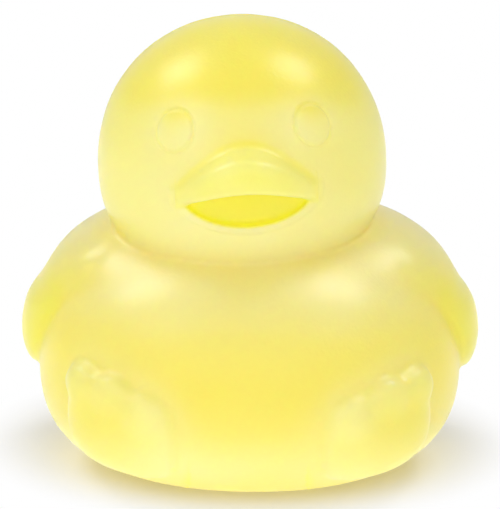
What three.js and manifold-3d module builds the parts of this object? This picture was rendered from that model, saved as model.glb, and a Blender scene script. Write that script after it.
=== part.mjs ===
// A squishy duck toy: one solid moulding in soft, translucent yellow rubber.
// The duck faces -Y, its right-hand side in the picture is +X, and it stands on the plane z = 0.
// Lengths are millimetres and angles are degrees. An exponent says how square a ball form is: 2 is
// round, and a higher one is fuller at its corners.
import * as THREE from "three";
import { mergeVertices } from "three/addons/utils/BufferGeometryUtils.js";
import Module from "manifold-3d";

const wasm = await Module();
wasm.setup();

// Body: a plump, slightly squared ball that is cut flat underneath
const bodyHalfWidth = 30.4;
const bodyHalfDepth = 29.5;
const bodyRise = 20.9;
const bodyDrop = 17.9;
const bodyPlanExponent = 2.15;
const bodyTopExponent = 2.15;
const bodyBottomExponent = 2.9;
const baseTrim = 0.5;

// Head: a round crown over a flatter chin, sunk a little way into the body
const headHalfWidth = 20.5;
const headHalfDepth = 20.0;
const crownRise = 20.5;
const crownExponent = 2.05;
const chinDrop = 15.6;
const chinExponent = 2.5;
const neckOverlap = 8.2;
const headForward = 2.5;
const headLean = 2.9;
const headTurn = 2.2;

// Eyes: an oval line pressed into each side of the face
const eyeWidth = 5.8;
const eyeHeight = 6.1;
const eyeSpread = 9.6;
const eyeLift = 8.0;
const eyeLineWidth = 0.45;
const eyeLineDepth = 0.35;

// Upper bill: a thick lip with a soft ridge, arched over the open mouth
const billHalfWidth = 9.9;
const billReach = 4.4;
const billArch = 6.15;
const ridgeCornerHeight = -0.6;
const ridgeArch = 5.1;
const lipCornerHeight = -2.4;
const lipArch = 2.6;
const billSink = 2.4;
const billEndTuck = 0.4;

// Lower bill: a thin raised rim round a shallow mouth
const lowerBillDrop = 5.7;
const lowerBillTop = 0.8;
const lowerBillRise = 0.6;
const lipRimWidth = 0.9;
const mouthDepth = 1.7;
const mouthCornerHeight = -0.3;

// Wings: soft pads wrapped on both flanks from the shoulder down, longer behind than in front
const wingThickness = 3.3;
const wingHalfHeight = 14.8;
const wingFrontLength = 12.5;
const wingBackLength = 18.0;
const wingFacing = 96;
const wingHeight = 28.0;
const wingSlant = 22;
const wingTipTaper = 0.4;
const wingTipLift = 3.0;
const wingExponent = 2.4;

// Feet: flat webbed pads on the lower front, each with a sole and three toes
const footFacing = 37.3;
const soleHalfWidth = 9.2;
const soleHalfHeight = 7.6;
const soleHeight = 11.2;
const soleProud = 1.7;
const toeCount = 3;
const toePitch = 5.2;
const toeHalfWidth = 3.4;
const toeHalfHeight = 4.6;
const toeHeight = 15.2;
const toeProud = 1.7;
const toeDroop = 0.9;
const footExponent = 2.8;

// Tail: a small blunt point, turned up at the back
const tailHalfWidth = 8.5;
const tailHalfHeight = 5.6;
const tailLength = 10.0;
const tailHeight = 21.5;
const tailTilt = 34;
const tailInset = 5.0;
const tailTaper = 0.3;

// Facets round and down each ball form
const bodyFacets = [48, 30];
const headFacets = [40, 28];
const wingFacets = [24, 16];
const soleFacets = [24, 14];
const toeFacets = [14, 10];
const tailFacets = [20, 14];
const mouthFacets = [32, 16];
const eyeFacets = [6, 30];
const billSteps = 22;

const moulding = {
  color: new THREE.Color().setRGB(0.96, 0.9, 0.47, THREE.SRGBColorSpace),
  roughness: 0.4,
  metalness: 0,
};

const bodyCentreHeight = bodyDrop - baseTrim;
const headCentreHeight = bodyCentreHeight + bodyRise + chinDrop - neckOverlap;
const radians = THREE.MathUtils.degToRad;

const bodyForm = {
  halfWidth: bodyHalfWidth,
  front: bodyHalfDepth,
  back: bodyHalfDepth,
  rise: bodyRise,
  drop: bodyDrop,
  plan: bodyPlanExponent,
  top: bodyTopExponent,
  bottom: bodyBottomExponent,
};

const headForm = {
  halfWidth: headHalfWidth,
  front: headHalfDepth,
  back: headHalfDepth,
  rise: crownRise,
  drop: chinDrop,
  plan: 2,
  top: crownExponent,
  bottom: chinExponent,
};

// How far along the vector v the surface of a form lies: the form is a ball whose half-widths and
// exponents differ by side, and this is 1 on its surface and less inside.
function gauge(form, v) {
  const depth = v.y < 0 ? form.front : form.back;
  const height = v.z > 0 ? form.rise : form.drop;
  const power = v.z > 0 ? form.top : form.bottom;
  const across = Math.abs(v.x / form.halfWidth) ** form.plan + Math.abs(v.y / depth) ** form.plan;
  return (across ** (power / form.plan) + Math.abs(v.z / height) ** power) ** (1 / power);
}

// How far in front of a form's centre its surface lies, at the place x across and z up.
function frontOf(form, x, z) {
  const height = z > 0 ? form.rise : form.drop;
  const power = z > 0 ? form.top : form.bottom;
  const across = Math.max(0, 1 - Math.abs(z / height) ** power) ** (form.plan / power);
  const left = Math.max(0, across - Math.abs(x / form.halfWidth) ** form.plan);
  return form.front * left ** (1 / form.plan);
}

// A sphere of unit radius with its poles on the Z axis.
function unitSphere(facets) {
  return new THREE.SphereGeometry(1, ...facets).rotateX(Math.PI / 2);
}

// Moves each vertex of a geometry to the place that the function gives for it.
function reshape(geometry, place) {
  const position = geometry.getAttribute("position");
  const v = new THREE.Vector3();
  for (let i = 0; i < position.count; i++) {
    v.fromBufferAttribute(position, i);
    place(v);
    position.setXYZ(i, v.x, v.y, v.z);
  }
  return geometry;
}

// The closed surface of a form.
function formGeometry(form, facets) {
  return reshape(unitSphere(facets), (v) => {
    v.multiplyScalar(1 / gauge(form, v));
  });
}

// A closed geometry as a solid that can be joined and cut.
function solid(geometry) {
  const bare = geometry.clone();
  bare.deleteAttribute("normal");
  bare.deleteAttribute("uv");
  const merged = mergeVertices(bare, 1e-4);
  return new wasm.Manifold(
    new wasm.Mesh({
      numProp: 3,
      vertProperties: new Float32Array(merged.getAttribute("position").array),
      triVerts: new Uint32Array(merged.index.array),
    }),
  );
}

// A solid as a geometry with flat-shaded faces.
function geometryOf(made) {
  const mesh = made.getMesh();
  const geometry = new THREE.BufferGeometry();
  geometry.setAttribute("position", new THREE.BufferAttribute(mesh.vertProperties, 3));
  geometry.setIndex(new THREE.BufferAttribute(mesh.triVerts, 1));
  const faces = geometry.toNonIndexed();
  faces.computeVertexNormals();
  return faces;
}

// Gives the function that lays a flat drawing round a seat on a form's surface: it takes how far
// across, up and out a point lies, and gives its place in the form's own centre frame.
function wrapper(form, seat) {
  const across = new THREE.Vector3(-seat.y, seat.x, 0).normalize();
  const up = new THREE.Vector3().crossVectors(seat, across).normalize();
  return (a, b, out) => {
    const place = seat.clone().addScaledVector(across, a).addScaledVector(up, b);
    place.multiplyScalar(1 / gauge(form, place));
    return place.setLength(place.length() + out);
  };
}

// The upper bill, as one side view drawn in unit terms and carried along the arch of the mouth.
// In the side view, x runs from the head's surface (0) to the lip's front (1), and y runs from the
// lip's edge (0) over the ridge (1) to the crease at the top (2). The ends dip under the surface.
function upperBill() {
  const side = new THREE.Shape();
  side.moveTo(-1, 0.1);
  side.lineTo(0.6, 0.06);
  side.quadraticCurveTo(0.98, -0.06, 1, 0.2);
  side.quadraticCurveTo(1.02, 0.8, 0.86, 1);
  side.quadraticCurveTo(0.5, 1.75, 0, 2);
  side.lineTo(-1, 1.9);
  side.closePath();
  const swept = new THREE.ExtrudeGeometry(side, {
    steps: billSteps,
    depth: 2,
    bevelEnabled: false,
    curveSegments: 3,
  });
  return reshape(swept, (v) => {
    const along = v.z - 1;
    const arch = Math.cos((along * Math.PI) / 2);
    const lip = lipCornerHeight + lipArch * arch;
    const ridge = ridgeCornerHeight + ridgeArch * arch;
    const crease = billArch * arch;
    const reach = (billReach + billEndTuck) * (1 - along * along) ** 0.6 - billEndTuck;
    const height = v.y < 1 ? lip + (ridge - lip) * v.y : ridge + (crease - ridge) * (v.y - 1);
    const out = v.x < 0 ? v.x * billSink : v.x * reach;
    const x = -along * billHalfWidth;
    v.set(x, -frontOf(headForm, x, height) - out, height);
  });
}

// A lens laid on the front of the head, its straight edge hidden behind the upper bill. It stands out
// and sinks in by its thickness, and the inset makes it smaller all round.
function faceLens(inset, thickness) {
  return reshape(unitSphere(mouthFacets), (v) => {
    const x = v.x * (billHalfWidth - inset);
    const z = mouthCornerHeight + v.z * (v.z > 0 ? lowerBillTop : lowerBillDrop - inset);
    v.set(x, -frontOf(headForm, x, z) + v.y * thickness, z);
  });
}

// The oval line of one eye: a thin ring whose middle runs along the head's surface.
function eyeLine(side) {
  const ring = new THREE.TorusGeometry(1, 0.5, ...eyeFacets);
  const seat = new THREE.Vector3(side * eyeSpread, -frontOf(headForm, eyeSpread, eyeLift), eyeLift);
  const place = wrapper(headForm, seat);
  return reshape(ring, (v) => {
    const angle = Math.atan2(v.y, v.x);
    const aside = (Math.hypot(v.x, v.y) - 1) * eyeLineWidth;
    const across = Math.cos(angle) * (eyeWidth / 2 + aside);
    const up = Math.sin(angle) * (eyeHeight / 2 + aside);
    v.copy(place(across, up, v.z * 2 * eyeLineDepth));
  });
}

// The head with its face, turned and leaned as it sits on the body.
function head() {
  let made = solid(formGeometry(headForm, headFacets));
  made = made.add(solid(faceLens(0, lowerBillRise)));
  made = made.subtract(solid(faceLens(lipRimWidth, mouthDepth)));
  made = made.add(solid(upperBill()));
  for (const side of [-1, 1]) {
    made = made.subtract(solid(eyeLine(side)));
  }
  const placed = geometryOf(made);
  placed.rotateZ(radians(headTurn));
  placed.translate(0, -headForward, headCentreHeight - bodyCentreHeight);
  placed.rotateY(-radians(headLean));
  placed.translate(0, 0, bodyCentreHeight);
  return solid(placed);
}

// The trunk, before the flat base is cut.
function trunk() {
  const ball = formGeometry(bodyForm, bodyFacets).translate(0, 0, bodyCentreHeight);
  return solid(ball);
}

// The point of the body's surface that faces out at the given angle from the front, at a height.
function bodySeat(facing, height) {
  const outward = new THREE.Vector3(Math.sin(radians(facing)), -Math.cos(radians(facing)), 0);
  const level = height - bodyCentreHeight;
  const ring = frontOf(bodyForm, 0, level) / bodyHalfDepth;
  return outward.multiplyScalar(ring / gauge(bodyForm, outward)).setZ(level);
}

// A pad wrapped on the body's surface round a seat. Its size says how far it reaches to the right, to
// the left, up and out, and how much it narrows and rises to the right; the slant turns it.
function bodyPad(seat, size, slant = 0) {
  const place = wrapper(bodyForm, seat);
  const unit = { halfWidth: 1, front: 1, back: 1, rise: 1, drop: 1 };
  const form = { ...unit, plan: size.exponent, top: size.exponent, bottom: size.exponent };
  const cosine = Math.cos(radians(slant));
  const sine = Math.sin(radians(slant));
  return reshape(formGeometry(form, size.facets), (v) => {
    const aside = v.x * (v.x > 0 ? size.right : size.left);
    const back = Math.max(0, v.x) ** 2;
    const up = v.z * size.halfHeight * (1 - size.taper * back) + size.lift * back;
    v.copy(place(aside * cosine - up * sine, aside * sine + up * cosine, -v.y * size.proud));
  });
}

// A piece modelled on the right flank, or its mirror image on the left.
function onSide(side, right) {
  const raised = right.translate([0, 0, bodyCentreHeight]);
  return side > 0 ? raised : raised.mirror([1, 0, 0]);
}

// One wing.
function wing(side) {
  const size = {
    right: wingBackLength,
    left: wingFrontLength,
    halfHeight: wingHalfHeight,
    proud: wingThickness,
    taper: wingTipTaper,
    lift: wingTipLift,
    exponent: wingExponent,
    facets: wingFacets,
  };
  return onSide(side, solid(bodyPad(bodySeat(wingFacing, wingHeight), size, wingSlant)));
}

// One foot: a sole with its toes fanned over the top edge, the outer toes a little lower.
function foot(side) {
  const sole = {
    right: soleHalfWidth,
    left: soleHalfWidth,
    halfHeight: soleHalfHeight,
    proud: soleProud,
    taper: 0,
    lift: 0,
    exponent: footExponent,
    facets: soleFacets,
  };
  const toe = {
    right: toeHalfWidth,
    left: toeHalfWidth,
    halfHeight: toeHalfHeight,
    proud: toeProud,
    taper: 0,
    lift: 0,
    exponent: footExponent,
    facets: toeFacets,
  };
  let made = solid(bodyPad(bodySeat(footFacing, soleHeight), sole));
  const middle = (toeCount - 1) / 2;
  for (let i = 0; i < toeCount; i++) {
    const turn = THREE.MathUtils.radToDeg(((i - middle) * toePitch) / bodyHalfDepth);
    const seat = bodySeat(footFacing + turn, toeHeight - toeDroop * Math.abs(i - middle));
    made = made.add(solid(bodyPad(seat, toe)));
  }
  return onSide(side, made);
}

// The tail: a ball drawn out backwards, narrower towards its point.
function tail() {
  const point = reshape(unitSphere(tailFacets), (v) => {
    const taper = 1 - tailTaper * Math.max(0, v.y);
    v.set(v.x * tailHalfWidth * taper, v.y * tailLength, v.z * tailHalfHeight * taper);
  });
  point.rotateX(radians(tailTilt));
  point.translate(0, bodyHalfDepth - tailInset, tailHeight);
  return solid(point);
}

// A block that fills everything under the plane that the duck stands on.
function floorBlock() {
  const size = 4 * bodyHalfDepth;
  return solid(new THREE.BoxGeometry(size, size, size).translate(0, 0, -size / 2));
}

// The whole moulding.
function moulded() {
  let made = trunk().add(tail()).add(head());
  for (const side of [-1, 1]) {
    made = made.add(wing(side)).add(foot(side));
  }
  return made.subtract(floorBlock());
}

const duckMesh = new THREE.Mesh(geometryOf(moulded()), new THREE.MeshStandardMaterial(moulding));
duckMesh.name = "duck";

const duck = new THREE.Group();
duck.add(duckMesh);

export default duck;
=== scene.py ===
"""A squishy duck toy: one soft moulding in frosted, translucent yellow rubber, sitting on a pale floor.

Sizes are in millimetres and angles in degrees, and the finished meshes are in metres. The duck faces -Y
and sits on z = 0. Each of its forms can say how far any point lies outside it and which way is out. The
moulding starts from rough shells of those forms, and its skin is then drawn onto where they blend.
"""

import logging
import math
from collections.abc import Callable, Sequence
from dataclasses import dataclass, field
from enum import Enum
from typing import Any

import bmesh
import bpy
import numpy as np
from mathutils import Matrix, Vector
from mathutils.bvhtree import BVHTree


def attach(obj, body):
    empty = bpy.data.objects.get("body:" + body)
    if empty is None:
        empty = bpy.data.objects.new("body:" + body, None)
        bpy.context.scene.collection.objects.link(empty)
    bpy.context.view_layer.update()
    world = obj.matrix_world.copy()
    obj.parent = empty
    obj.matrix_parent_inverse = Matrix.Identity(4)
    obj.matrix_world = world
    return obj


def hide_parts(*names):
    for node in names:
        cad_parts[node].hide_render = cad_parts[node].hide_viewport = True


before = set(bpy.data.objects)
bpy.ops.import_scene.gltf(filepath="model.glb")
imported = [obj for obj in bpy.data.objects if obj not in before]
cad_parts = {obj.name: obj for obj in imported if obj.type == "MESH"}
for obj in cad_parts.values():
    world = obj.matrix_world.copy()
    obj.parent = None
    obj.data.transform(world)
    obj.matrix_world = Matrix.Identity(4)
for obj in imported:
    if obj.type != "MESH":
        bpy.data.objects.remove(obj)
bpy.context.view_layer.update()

LOG = logging.getLogger("duck")
MM = 0.001
FAR_AWAY = 1000.0
PROBE = 0.02
# The moulding's two vertex attributes, which its material reads; both carry painted light and shade.
# Where shade is painted as a deeper yellow.
PAINTED_SHADE = "painted_shade_yellow"
# How much gel lies behind each point; it drives painted light and shade for light through the gel.
GEL_DEPTH = "gel_depth"

Level = Callable[[np.ndarray], np.ndarray]
Place = Callable[[np.ndarray], np.ndarray]


class Side(Enum):
    """The two flanks, as the picture shows them."""

    LEFT = -1
    RIGHT = 1


# Surfaces as distances


@dataclass
class Skin:
    """A surface as some points see it: how far outside it each one lies, and which way is out."""

    distance: np.ndarray
    outward: np.ndarray

    def joined(self, other: "Skin", radius: float | np.ndarray) -> "Skin":
        """Joins this form to another with a fillet between them.

        Args:
            other: The form to add.
            radius: How wide the fillet is, for all points or for each.

        Returns:
            The skin over both.
        """
        share = np.clip(0.5 + 0.5 * (other.distance - self.distance) / radius, 0.0, 1.0)
        fillet = radius * share * (1.0 - share)
        distance = other.distance * (1.0 - share) + self.distance * share - fillet
        outward = other.outward * (1.0 - share)[:, None] + self.outward * share[:, None]
        return Skin(distance, outward)

    def turned_out(self) -> "Skin":
        """Gives the same surface with its inside and outside exchanged."""
        return Skin(-self.distance, -self.outward)

    def kept_inside(self, other: "Skin", radius: float | np.ndarray) -> "Skin":
        """Keeps what lies inside both forms, with a rounded edge between them.

        Args:
            other: The form that trims this one.
            radius: How wide the rounding is.

        Returns:
            The skin over what both hold.
        """
        return self.turned_out().joined(other.turned_out(), radius).turned_out()

    def cut_by(self, other: "Skin", radius: float | np.ndarray) -> "Skin":
        """Takes another form out of this one, with a rounded edge round the cut.

        Args:
            other: The form to take away.
            radius: How wide the rounding is.

        Returns:
            The skin over what is left.
        """
        return self.kept_inside(other.turned_out(), radius)


def skin_of(level: Level, points: np.ndarray, near: np.ndarray | None = None) -> Skin:
    """Turns a level function, which is 0 on a surface and grows outwards, into distances.

    Args:
        level: The function of the points.
        points: The points, one to a row.
        near: Which points are worth working out. The others count as far away.

    Returns:
        The skin as the points see it.
    """
    distance = np.full(len(points), FAR_AWAY)
    outward = np.zeros_like(points)
    chosen = np.ones(len(points), bool) if near is None else near
    if not chosen.any():
        return Skin(distance, outward)
    spots = points[chosen]
    slope = np.empty_like(spots)
    for axis in range(3):
        step = np.zeros(3)
        step[axis] = PROBE
        slope[:, axis] = (level(spots + step) - level(spots - step)) / (2.0 * PROBE)
    steepness = np.maximum(np.linalg.norm(slope, axis=1), 1e-6)
    distance[chosen] = level(spots) / steepness
    outward[chosen] = slope / steepness[:, None]
    return Skin(distance, outward)


def turned(points: np.ndarray, matrix: Matrix) -> np.ndarray:
    """Moves points by a matrix.

    Args:
        points: The points, one to a row.
        matrix: The 4 by 4 matrix.

    Returns:
        The moved points.
    """
    table = np.array(matrix)
    return points @ table[:3, :3].T + table[:3, 3]


def smooth_step(value: np.ndarray, low: float, high: float) -> np.ndarray:
    """Rises from 0 at low to 1 at high with soft ends.

    Args:
        value: The numbers to place.
        low: Where the rise starts.
        high: Where it ends.

    Returns:
        The risen numbers.
    """
    share = np.clip((value - low) / (high - low), 0.0, 1.0)
    return share * share * (3.0 - 2.0 * share)


def hump(offset: np.ndarray, width: float) -> np.ndarray:
    """Gives a bell curve of height 1 that has fallen to a third at its width."""
    return np.exp(-((offset / width) ** 2))


@dataclass(frozen=True)
class BallForm:
    """A ball whose half-widths and exponents differ by side. An exponent of 2 is round."""

    half_width: float
    front: float
    back: float
    rise: float
    drop: float
    plan: float = 2.0
    top: float = 2.0
    bottom: float = 2.0

    def gauge(self, points: np.ndarray) -> np.ndarray:
        """Gives 1 for points on the surface and less inside, in the form's own centre frame."""
        depth = np.where(points[:, 1] < 0.0, self.front, self.back)
        height = np.where(points[:, 2] > 0.0, self.rise, self.drop)
        power = np.where(points[:, 2] > 0.0, self.top, self.bottom)
        across = np.abs(points[:, 0] / self.half_width) ** self.plan
        across = across + np.abs(points[:, 1] / depth) ** self.plan
        upright = np.abs(points[:, 2] / height) ** power
        return np.maximum(across ** (power / self.plan) + upright, 1e-9) ** (1.0 / power)

    def level(self, points: np.ndarray) -> np.ndarray:
        """Gives a level function of the form, 0 on its surface."""
        return self.gauge(points) - 1.0

    def front_of(self, x: np.ndarray, z: np.ndarray) -> np.ndarray:
        """Gives how far in front of the centre the surface lies, at a place across and up."""
        height = np.where(z > 0.0, self.rise, self.drop)
        power = np.where(z > 0.0, self.top, self.bottom)
        ring = np.maximum(0.0, 1.0 - np.abs(z / height) ** power) ** (self.plan / power)
        left = np.maximum(0.0, ring - np.abs(x / self.half_width) ** self.plan)
        return self.front * left ** (1.0 / self.plan)

    def shaped(self, unit: np.ndarray) -> np.ndarray:
        """Draws the points of a unit ball out onto the surface."""
        return unit / self.gauge(unit)[:, None]


@dataclass(frozen=True)
class Seat:
    """A place on a form's surface, with a flat drawing plane that can be wrapped onto the form."""

    form: BallForm
    point: Vector

    @property
    def axes(self) -> tuple[np.ndarray, np.ndarray, np.ndarray]:
        """The plane's directions: across, up and out."""
        across = Vector((-self.point.y, self.point.x, 0.0)).normalized()
        up = self.point.cross(across).normalized()
        return np.array(across), np.array(up), np.array(across.cross(up))

    def wrapped(self, drawn: np.ndarray) -> np.ndarray:
        """Lays drawn points onto the form.

        Args:
            drawn: How far across, up and out each point lies.

        Returns:
            Their places in the form's centre frame.
        """
        across, up, _ = self.axes
        flat = np.array(self.point) + drawn[:, :1] * across + drawn[:, 1:2] * up
        laid = flat / self.form.gauge(flat)[:, None]
        reach = np.linalg.norm(laid, axis=1)
        return laid * (1.0 + drawn[:, 2] / reach)[:, None]

    def unwrapped(self, points: np.ndarray) -> np.ndarray:
        """Finds where points lie on the drawing plane, which undoes wrapped.

        Args:
            points: Points in the form's centre frame.

        Returns:
            How far across, up and out each one lies.
        """
        across, up, out = self.axes
        facing = points @ out
        ahead = facing > 1e-3
        flat = points * (float(np.array(self.point) @ out) / np.where(ahead, facing, 1.0))[:, None]
        offset = flat - np.array(self.point)
        reach = np.linalg.norm(points, axis=1)
        proud = reach * (1.0 - 1.0 / self.form.gauge(points))
        drawn = np.stack([offset @ across, offset @ up, proud], axis=1)
        drawn[~ahead] = FAR_AWAY
        return drawn


@dataclass(frozen=True)
class Pad:
    """A soft pad wrapped on a form round a seat, narrowing and rising to its right-hand end."""

    right: float
    left: float
    half_height: float
    proud: float
    exponent: float
    slant: float = 0.0
    taper: float = 0.0
    lift: float = 0.0

    def wrapped(self, unit: np.ndarray, seat: Seat) -> np.ndarray:
        """Shapes a unit ball into the pad.

        Args:
            unit: Points of a unit ball.
            seat: Where the pad sits.

        Returns:
            The pad's points in the form's centre frame.
        """
        square = BallForm(1.0, 1.0, 1.0, 1.0, 1.0, self.exponent, self.exponent, self.exponent)
        ball = square.shaped(unit)
        aside = ball[:, 0] * np.where(ball[:, 0] > 0.0, self.right, self.left)
        behind = np.maximum(0.0, ball[:, 0]) ** 2
        up = ball[:, 2] * self.half_height * (1.0 - self.taper * behind) + self.lift * behind
        cosine, sine = math.cos(math.radians(self.slant)), math.sin(math.radians(self.slant))
        drawn = [aside * cosine - up * sine, aside * sine + up * cosine, -ball[:, 1] * self.proud]
        return seat.wrapped(np.stack(drawn, axis=1))

    def level(self, points: np.ndarray, seat: Seat) -> np.ndarray:
        """Gives a level function of the pad.

        Args:
            points: Points in the form's centre frame.
            seat: Where the pad sits.

        Returns:
            The level of each point, 0 on the pad's surface.
        """
        drawn = seat.unwrapped(points)
        cosine, sine = math.cos(math.radians(self.slant)), math.sin(math.radians(self.slant))
        aside = drawn[:, 0] * cosine + drawn[:, 1] * sine
        up = drawn[:, 1] * cosine - drawn[:, 0] * sine
        along = aside / np.where(aside > 0.0, self.right, self.left)
        behind = np.clip(along, 0.0, 1.2) ** 2
        height = (up - self.lift * behind) / (self.half_height * (1.0 - self.taper * behind))
        total = np.abs(along) ** self.exponent + np.abs(height) ** self.exponent
        total = total + np.abs(drawn[:, 2] / self.proud) ** self.exponent
        return np.minimum(total, 1e6) ** (1.0 / self.exponent) - 1.0


def add_ball(bm: bmesh.types.BMesh, place: Place, fineness: int = 5) -> None:
    """Adds a closed ball whose points are moved to where a function puts them.

    Args:
        bm: The mesh to add to.
        place: The function of a unit ball's points.
        fineness: How often the ball's faces are divided.
    """
    made = bmesh.ops.create_icosphere(bm, subdivisions=fineness, radius=1.0)
    spots = place(np.array([vert.co for vert in made["verts"]]))
    for vert, spot in zip(made["verts"], spots):
        vert.co = spot


# The duck's forms


@dataclass(frozen=True)
class Body:
    """The plump trunk, cut flat underneath."""

    form: BallForm = BallForm(30.4, 29.5, 29.5, 20.9, 17.9, 2.15, 2.15, 2.9)
    base_trim: float = 0.5
    base_rounding: float = 0.9

    @property
    def centre_height(self) -> float:
        """How high the widest level lies."""
        return self.form.drop - self.base_trim

    def centred(self, points: np.ndarray) -> np.ndarray:
        """Moves points into the trunk's centre frame."""
        return points - np.array([0.0, 0.0, self.centre_height])

    def seat(self, facing: float, height: float) -> Seat:
        """Finds a place on the trunk's surface.

        Args:
            facing: The angle from the front, round to the right.
            height: How high above the floor.

        Returns:
            The seat there.
        """
        angle = math.radians(facing)
        outward = np.array([[math.sin(angle), -math.cos(angle), 0.0]])
        level = height - self.centre_height
        ring = float(self.form.front_of(np.zeros(1), np.array([level]))[0]) / self.form.front
        spot = outward[0] * ring / float(self.form.gauge(outward)[0])
        return Seat(self.form, Vector((spot[0], spot[1], level)))

    def add_shell(self, bm: bmesh.types.BMesh) -> None:
        """Adds the trunk's rough shell."""
        up = np.array([0.0, 0.0, self.centre_height])
        add_ball(bm, lambda unit: self.form.shaped(unit) + up, 6)

    def skin(self, points: np.ndarray) -> Skin:
        """Gives the trunk's surface as the points see it."""
        return skin_of(lambda spots: self.form.level(self.centred(spots)), points)

    def floor(self, points: np.ndarray) -> Skin:
        """Gives the flat base, with everything above it inside."""
        return Skin(-points[:, 2], np.tile(np.array([0.0, 0.0, -1.0]), (len(points), 1)))


@dataclass(frozen=True)
class Tail:
    """A small blunt point, turned up at the back."""

    half_width: float = 8.5
    half_height: float = 5.6
    length: float = 10.0
    height: float = 21.5
    tilt: float = 34.0
    inset: float = 5.0
    taper: float = 0.3
    fillet: float = 4.5
    near_back: float = 8.0

    def placing(self, body: Body) -> Matrix:
        """Gives the matrix that seats the tail on a trunk."""
        root = Vector((0.0, body.form.back - self.inset, self.height))
        return Matrix.Translation(root) @ Matrix.Rotation(math.radians(self.tilt), 4, "X")

    def add_shell(self, bm: bmesh.types.BMesh, body: Body) -> None:
        """Adds the tail's rough shell.

        Args:
            bm: The mesh to add to.
            body: The trunk that carries the tail.
        """
        def place(unit: np.ndarray) -> np.ndarray:
            """Draws a unit ball out into the tail."""
            narrow = 1.0 - self.taper * np.maximum(0.0, unit[:, 1])
            sides = [
                unit[:, 0] * self.half_width * narrow,
                unit[:, 1] * self.length,
                unit[:, 2] * self.half_height * narrow,
            ]
            return turned(np.stack(sides, axis=1), self.placing(body))

        add_ball(bm, place, 4)

    def skin(self, points: np.ndarray, body: Body) -> Skin:
        """Gives the tail's surface.

        Args:
            points: The points that look at it.
            body: The trunk that carries the tail.

        Returns:
            The tail's skin.
        """
        back = self.placing(body).inverted()

        def level(spots: np.ndarray) -> np.ndarray:
            """Gives how far out of the tail each spot lies."""
            own = turned(spots, back)
            along = own[:, 1] / self.length
            narrow = 1.0 - self.taper * np.clip(along, 0.0, 1.5)
            across = own[:, 0] / (self.half_width * narrow)
            upright = own[:, 2] / (self.half_height * narrow)
            return np.sqrt(across**2 + along**2 + upright**2 + 1e-9) - 1.0

        return skin_of(level, points, points[:, 1] > self.near_back)


@dataclass(frozen=True)
class Wing:
    """A soft pad on one flank. It melts into the shoulder and stands clear of the body lower down."""

    side: Side
    pad: Pad = Pad(18.0, 12.5, 14.8, 3.3, 2.4, slant=22.0, taper=0.4, lift=3.0)
    facing: float = 96.0
    height: float = 28.0
    crease: float = 0.9
    shoulder_fillet: float = 11.0
    shoulder_thinning: float = 2.1
    shoulder_low: float = 24.0
    shoulder_high: float = 34.0
    near_side: float = 8.0
    # Where the painted shade on the wing fades out, by distance from its surface.
    colour_edge: tuple[float, float] = (0.4, 2.0)

    def mirrored(self, points: np.ndarray) -> np.ndarray:
        """Exchanges left and right where the wing is on the left."""
        return points * np.array([float(self.side.value), 1.0, 1.0])

    def add_shell(self, bm: bmesh.types.BMesh, body: Body) -> None:
        """Adds the wing's rough shell.

        Args:
            bm: The mesh to add to.
            body: The trunk that carries the wing.
        """
        seat = body.seat(self.facing, self.height)
        up = np.array([0.0, 0.0, body.centre_height])
        add_ball(bm, lambda unit: self.mirrored(self.pad.wrapped(unit, seat) + up))

    def skin(self, points: np.ndarray, body: Body) -> Skin:
        """Gives the wing's surface.

        Args:
            points: The points that look at it.
            body: The trunk that carries the wing.

        Returns:
            The wing's skin.
        """
        seat = body.seat(self.facing, self.height)

        def level(spots: np.ndarray) -> np.ndarray:
            """Gives how far out of the wing each spot lies."""
            return self.pad.level(body.centred(self.mirrored(spots)), seat)

        skin = skin_of(level, points, points[:, 0] * self.side.value > self.near_side)
        skin.distance = skin.distance + self.shoulder_thinning * self.melting(points)
        return skin

    def melting(self, points: np.ndarray) -> np.ndarray:
        """Gives 0 below the shoulder and 1 where the wing has melted into it."""
        return smooth_step(points[:, 2], self.shoulder_low, self.shoulder_high)

    def share(self, points: np.ndarray, body: Body) -> np.ndarray:
        """Gives 1 for points on the wing and 0 away from it, for a trunk that carries the wing."""
        return 1.0 - smooth_step(np.abs(self.skin(points, body).distance), *self.colour_edge)

    def fillet(self, points: np.ndarray) -> np.ndarray:
        """Gives how widely the wing melts into the body at each point."""
        return self.crease + (self.shoulder_fillet - self.crease) * self.melting(points)


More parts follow.
